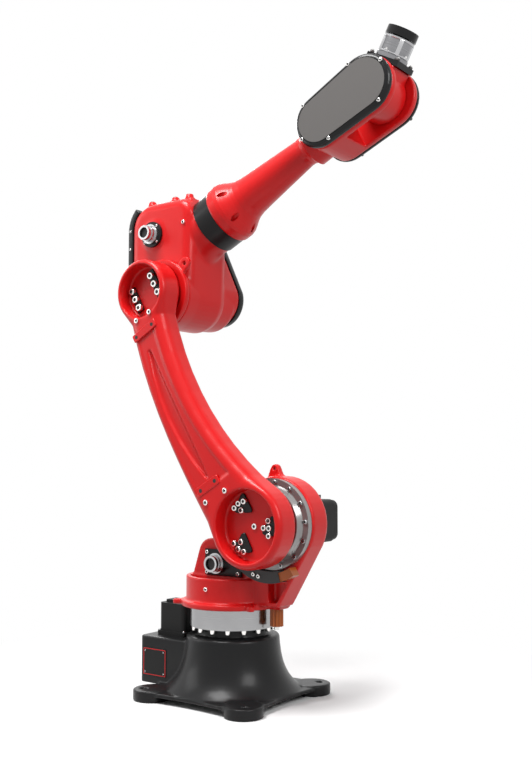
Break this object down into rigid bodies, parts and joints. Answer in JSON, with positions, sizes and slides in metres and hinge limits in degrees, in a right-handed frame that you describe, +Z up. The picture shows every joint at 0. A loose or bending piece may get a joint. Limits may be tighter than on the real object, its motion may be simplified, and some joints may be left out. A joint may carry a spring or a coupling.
{
  "type": "industrial robot arm",
  "caption": "Floor-standing articulated robot arm with a flared base, bowed lower arm, offset elbow and forked wrist that carries a round tool flange.",
  "frame": {"origin": "on the first axis at the floor, in the plane of the foot pads", "axes": "+Z up along the first axis, +X to the front of the arm, -Y to the side that carries the lower arm"},
  "size_m": [0.9687, 0.436, 1.8466],
  "materials": {
    "red_paint": "glossy red paint on castings",
    "black_paint": "satin black paint",
    "machined_steel": "turned bare metal",
    "bright_alloy": "bright turned metal",
    "orange_buffer": "orange elastomer",
    "grey_cover": "satin grey cover",
    "black_cover": "satin black cover"
  },
  "bodies": {
    "base": {"base_casting": "black_paint", "j1_motor": "black_paint", "j1_motor_plug": "black_cover"},
    "turret": {"j1_reducer_ring": "machined_steel", "turret_casting": "red_paint", "j1_bumper": "orange_buffer", "j1_stop_pin": "machined_steel", "turret_gland_plate": "black_cover", "turret_gland": "bright_alloy", "j2_reducer_case": "machined_steel", "j2_motor_adapter": "black_paint", "j2_motor": "black_paint", "j2_motor_plug": "black_cover", "j2_stop_bracket": "black_paint", "j2_stop_bumper": "orange_buffer"},
    "lower_arm": {"lower_arm_casting": "red_paint", "j2_output_flange": "machined_steel", "j3_output_flange": "machined_steel", "j3_strip_front": "black_cover", "j3_strip_rear": "black_cover"},
    "elbow": {"elbow_casting": "red_paint", "j3_ring": "red_paint", "elbow_rear_cover": "black_cover", "elbow_far_cover": "black_cover", "elbow_gland_plate": "black_cover", "elbow_gland": "bright_alloy", "j4_ring": "black_paint"},
    "forearm": {"forearm_tube": "red_paint", "wrist_fork": "red_paint", "near_cover_rim": "black_cover", "near_cover_face": "grey_cover", "far_cover": "black_cover"},
    "wrist": {"wrist_head": "red_paint", "wrist_plate": "black_paint", "j6_reducer": "bright_alloy"},
    "tool": {"tool_flange": "black_paint"}
  },
  "joints": [
    {"name": "j1_turn", "type": "hinge", "parent": "base", "child": "turret", "pos_m": [0, 0, 0.204], "axis": [0, 0, 1], "range_deg": [-150, 150]},
    {"name": "j2_lean", "type": "hinge", "parent": "turret", "child": "lower_arm", "pos_m": [0.191, 0, 0.503], "axis": [0, 1, 0], "range_deg": [-40, 120]},
    {"name": "j3_lift", "type": "hinge", "parent": "lower_arm", "child": "elbow", "pos_m": [-0.19775, 0, 1.17229], "axis": [0, -1, 0], "range_deg": [-51, 109]},
    {"name": "j4_roll", "type": "hinge", "parent": "elbow", "child": "forearm", "pos_m": [-0.25844, 0, 1.294], "axis": [0.8949, 0, 0.4462], "range_deg": [-180, 180]},
    {"name": "j5_bend", "type": "hinge", "parent": "forearm", "child": "wrist", "pos_m": [0.48883, 0, 1.66657], "axis": [0, -1, 0], "range_deg": [-150, 80]},
    {"name": "j6_spin", "type": "hinge", "parent": "wrist", "child": "tool", "pos_m": [0.48883, 0, 1.66657], "axis": [0.4772, 0, 0.8788], "range_deg": [-360, 360]}
  ]
}
